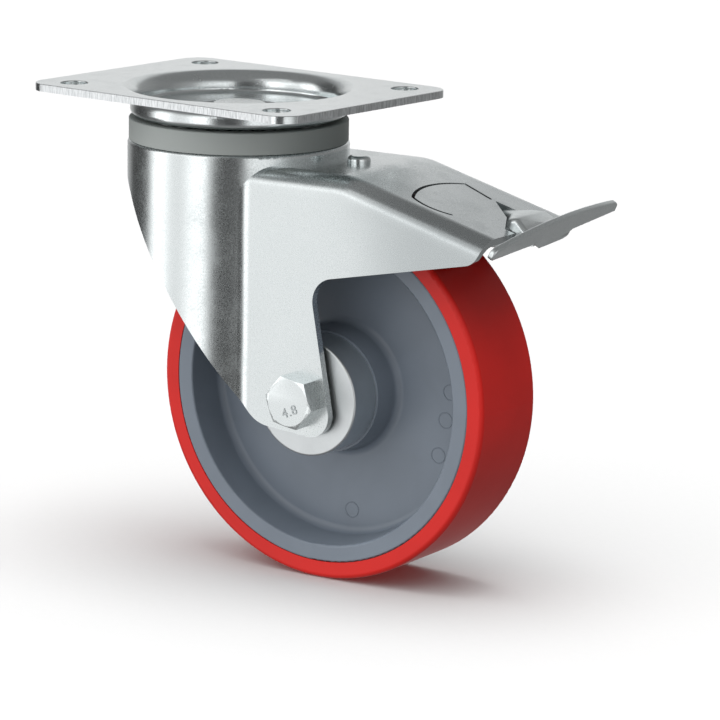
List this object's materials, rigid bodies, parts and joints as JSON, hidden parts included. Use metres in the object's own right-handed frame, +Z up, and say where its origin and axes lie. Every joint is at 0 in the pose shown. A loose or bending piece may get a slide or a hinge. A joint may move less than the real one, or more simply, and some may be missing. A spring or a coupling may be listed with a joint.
{
  "type": "swivel castor",
  "caption": "Swivel castor with a dished top plate, a double ball race swivel head, a pressed fork, a red-tyred wheel on ball bearings and a foot brake",
  "frame": {"origin": "centre of the top plate's upper face, on the swivel axis", "axes": "+Z up along the swivel axis, +X along the plate's length and roughly the way the wheel trails, +Y along the plate's width"},
  "size_m": [0.2244, 0.1093, 0.19],
  "materials": {
    "zinc": "bright blue zinc plating over pressed steel",
    "spring_steel": "zinc plated spring steel, slightly duller",
    "bearing_steel": "hardened and ground steel",
    "seal": "plain grey plastic ring",
    "cap": "light grey moulded cap",
    "centre": "blue-grey moulded polyamide, half gloss",
    "tread": "red polyurethane, half gloss"
  },
  "bodies": {
    "mount": {"top_plate": "zinc", "kingpin": "zinc", "race_cup": "bearing_steel", "lock_ring": "bearing_steel", "kingpin_washer": "zinc", "kingpin_nut": "zinc", "upper_balls": "bearing_steel", "lower_balls": "bearing_steel"},
    "fork": {"fork": "zinc", "dust_seal": "seal", "axle_bolt": "zinc", "axle_washer": "zinc", "axle_nut": "zinc", "axle_tube": "zinc", "centre_bush": "zinc", "left_bush": "zinc", "right_bush": "zinc", "roof_rivet": "zinc", "pedal_pin": "spring_steel", "left_inner_race": "bearing_steel", "right_inner_race": "bearing_steel"},
    "wheel": {"wheel_centre": "centre", "tread": "tread", "left_outer_race": "bearing_steel", "right_outer_race": "bearing_steel", "left_bearing_balls": "bearing_steel", "right_bearing_balls": "bearing_steel", "left_hub_cap": "cap", "right_hub_cap": "cap"},
    "pedal": {"brake_pedal": "zinc"},
    "leaf": {"brake_leaf": "spring_steel"}
  },
  "joints": [
    {"name": "swivel", "type": "hinge", "parent": "mount", "child": "fork", "pos_m": [0, 0, 0], "axis": [0, 0, 1], "continuous": true},
    {"name": "wheel_spin", "type": "hinge", "parent": "fork", "child": "wheel", "pos_m": [0.05326, 0.00504, -0.115], "axis": [-0.0941, 0.9956, 0], "continuous": true},
    {"name": "pedal_press", "type": "hinge", "parent": "fork", "child": "pedal", "pos_m": [0.10751, 0.01016, -0.0445], "axis": [-0.0941, 0.9956, 0], "range_deg": [0, 30]},
    {"name": "leaf_rock", "type": "hinge", "parent": "fork", "child": "leaf", "pos_m": [0.05724, 0.00541, -0.0286], "axis": [-0.0941, 0.9956, 0], "range_deg": [0, 2.5]}
  ],
  "couplings": [
    {"joint": "leaf_rock", "follows": "pedal_press", "ratio": 0.083333}
  ]
}
